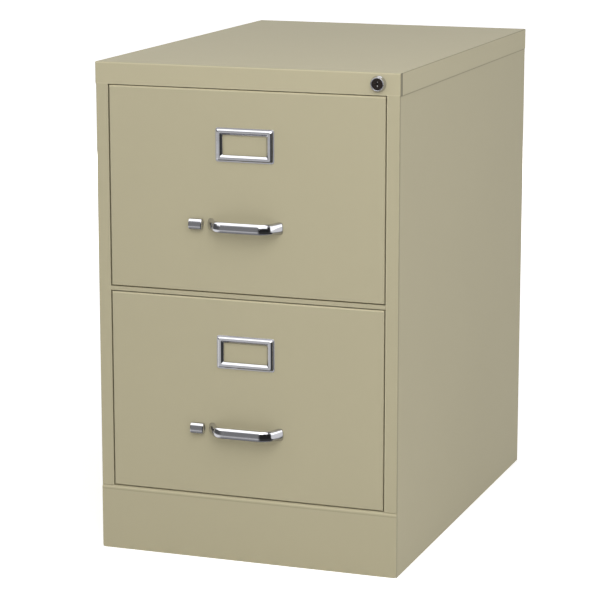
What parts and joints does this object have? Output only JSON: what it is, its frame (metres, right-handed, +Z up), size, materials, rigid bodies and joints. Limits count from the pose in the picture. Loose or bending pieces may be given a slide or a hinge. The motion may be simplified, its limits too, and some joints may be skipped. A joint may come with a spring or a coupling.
{
  "type": "filing cabinet",
  "caption": "Two-drawer vertical filing cabinet in painted sheet steel, with chromed bow handles, label holders, thumb latches, telescoping slides and a lock that bars the drawers.",
  "frame": {"origin": "on the floor, under the middle of the whole object's box, handles included", "axes": "+Z up, the drawer fronts face -Y, +X to the right of someone facing the fronts"},
  "size_m": [0.4572, 0.6984, 0.7207],
  "materials": {
    "putty_paint": "semi-gloss putty enamel",
    "chrome_trim": "bright chromed die casting",
    "zinc_steel": "zinc-plated steel",
    "lock_core_dark": "dark plated brass",
    "spring_steel": "bare spring strip",
    "bearing_steel": "polished rollers in plated cages"
  },
  "bodies": {
    "cabinet": {"back_panel": "putty_paint", "base_panel": "putty_paint", "divider_rail": "putty_paint", "front_top_rail": "putty_paint", "left_front_upright": "putty_paint", "left_rear_upright": "putty_paint", "left_side_panel": "putty_paint", "lock_bar_guides": "zinc_steel", "lock_barrel": "chrome_trim", "lock_nut": "zinc_steel", "lower_left_slide_case_member": "zinc_steel", "lower_right_slide_case_member": "zinc_steel", "rear_foot_rail": "putty_paint", "right_front_upright": "putty_paint", "right_rear_upright": "putty_paint", "right_side_panel": "putty_paint", "top_cover": "putty_paint", "upper_left_slide_case_member": "zinc_steel", "upper_right_slide_case_member": "zinc_steel"},
    "lock_plug": {"lock_core": "lock_core_dark", "lock_cam": "zinc_steel"},
    "lock_bar": {"lock_bar": "zinc_steel"},
    "upper_drawer": {"upper_drawer_front": "putty_paint", "upper_front_liner": "putty_paint", "upper_handle": "chrome_trim", "upper_label_holder": "chrome_trim", "upper_latch_guide": "zinc_steel", "upper_latch_spring": "spring_steel", "upper_left_slide_drawer_member": "zinc_steel", "upper_left_tray_side": "putty_paint", "upper_lock_lug": "zinc_steel", "upper_right_slide_drawer_member": "zinc_steel", "upper_right_tray_side": "putty_paint", "upper_tray_pan": "putty_paint"},
    "upper_slides": {"upper_left_slide_middle_member": "zinc_steel", "upper_right_slide_middle_member": "zinc_steel"},
    "upper_outer_cages": {"upper_outer_roller_cages": "bearing_steel"},
    "upper_inner_cages": {"upper_inner_roller_cages": "bearing_steel"},
    "upper_latch": {"upper_latch_bar": "zinc_steel", "upper_latch_button": "chrome_trim"},
    "lower_drawer": {"lower_drawer_front": "putty_paint", "lower_front_liner": "putty_paint", "lower_handle": "chrome_trim", "lower_label_holder": "chrome_trim", "lower_latch_guide": "zinc_steel", "lower_latch_spring": "spring_steel", "lower_left_slide_drawer_member": "zinc_steel", "lower_left_tray_side": "putty_paint", "lower_lock_lug": "zinc_steel", "lower_right_slide_drawer_member": "zinc_steel", "lower_right_tray_side": "putty_paint", "lower_tray_pan": "putty_paint"},
    "lower_slides": {"lower_left_slide_middle_member": "zinc_steel", "lower_right_slide_middle_member": "zinc_steel"},
    "lower_outer_cages": {"lower_outer_roller_cages": "bearing_steel"},
    "lower_inner_cages": {"lower_inner_roller_cages": "bearing_steel"},
    "lower_latch": {"lower_latch_bar": "zinc_steel", "lower_latch_button": "chrome_trim"}
  },
  "joints": [
    {"name": "lock_bar_lift", "type": "slide", "parent": "cabinet", "child": "lock_bar", "axis": [0, 0, 1], "range_m": [0, 0.01131]},
    {"name": "lock_turn", "type": "hinge", "parent": "cabinet", "child": "lock_plug", "pos_m": [0.1962, -0.32385, 0.7049], "axis": [0, -1, 0], "range_deg": [0, 90]},
    {"name": "upper_drawer_slide", "type": "slide", "parent": "cabinet", "child": "upper_drawer", "axis": [0, -1, 0], "range_m": [0, 0.58]},
    {"name": "upper_middle_slide", "type": "slide", "parent": "cabinet", "child": "upper_slides", "axis": [0, -1, 0], "range_m": [0, 0.29]},
    {"name": "upper_outer_cage_roll", "type": "slide", "parent": "cabinet", "child": "upper_outer_cages", "axis": [0, -1, 0], "range_m": [0, 0.145]},
    {"name": "upper_inner_cage_roll", "type": "slide", "parent": "cabinet", "child": "upper_inner_cages", "axis": [0, -1, 0], "range_m": [0, 0.435]},
    {"name": "upper_latch_slide", "type": "slide", "parent": "upper_drawer", "child": "upper_latch", "axis": [1, 0, 0], "range_m": [0, 0.006], "stiffness_N_per_m": 300, "springref_m": -0.004, "deforming": ["upper_latch_spring"]},
    {"name": "lower_drawer_slide", "type": "slide", "parent": "cabinet", "child": "lower_drawer", "axis": [0, -1, 0], "range_m": [0, 0.58]},
    {"name": "lower_middle_slide", "type": "slide", "parent": "cabinet", "child": "lower_slides", "axis": [0, -1, 0], "range_m": [0, 0.29]},
    {"name": "lower_outer_cage_roll", "type": "slide", "parent": "cabinet", "child": "lower_outer_cages", "axis": [0, -1, 0], "range_m": [0, 0.145]},
    {"name": "lower_inner_cage_roll", "type": "slide", "parent": "cabinet", "child": "lower_inner_cages", "axis": [0, -1, 0], "range_m": [0, 0.435]},
    {"name": "lower_latch_slide", "type": "slide", "parent": "lower_drawer", "child": "lower_latch", "axis": [1, 0, 0], "range_m": [0, 0.006], "stiffness_N_per_m": 300, "springref_m": -0.004, "deforming": ["lower_latch_spring"]}
  ],
  "couplings": [
    {"joint": "lock_turn", "follows": "lock_bar_lift", "rad_per_m": 138.89},
    {"joint": "upper_middle_slide", "follows": "upper_drawer_slide", "ratio": 0.5},
    {"joint": "upper_outer_cage_roll", "follows": "upper_drawer_slide", "ratio": 0.25},
    {"joint": "upper_inner_cage_roll", "follows": "upper_drawer_slide", "ratio": 0.75},
    {"joint": "lower_middle_slide", "follows": "lower_drawer_slide", "ratio": 0.5},
    {"joint": "lower_outer_cage_roll", "follows": "lower_drawer_slide", "ratio": 0.25},
    {"joint": "lower_inner_cage_roll", "follows": "lower_drawer_slide", "ratio": 0.75}
  ]
}
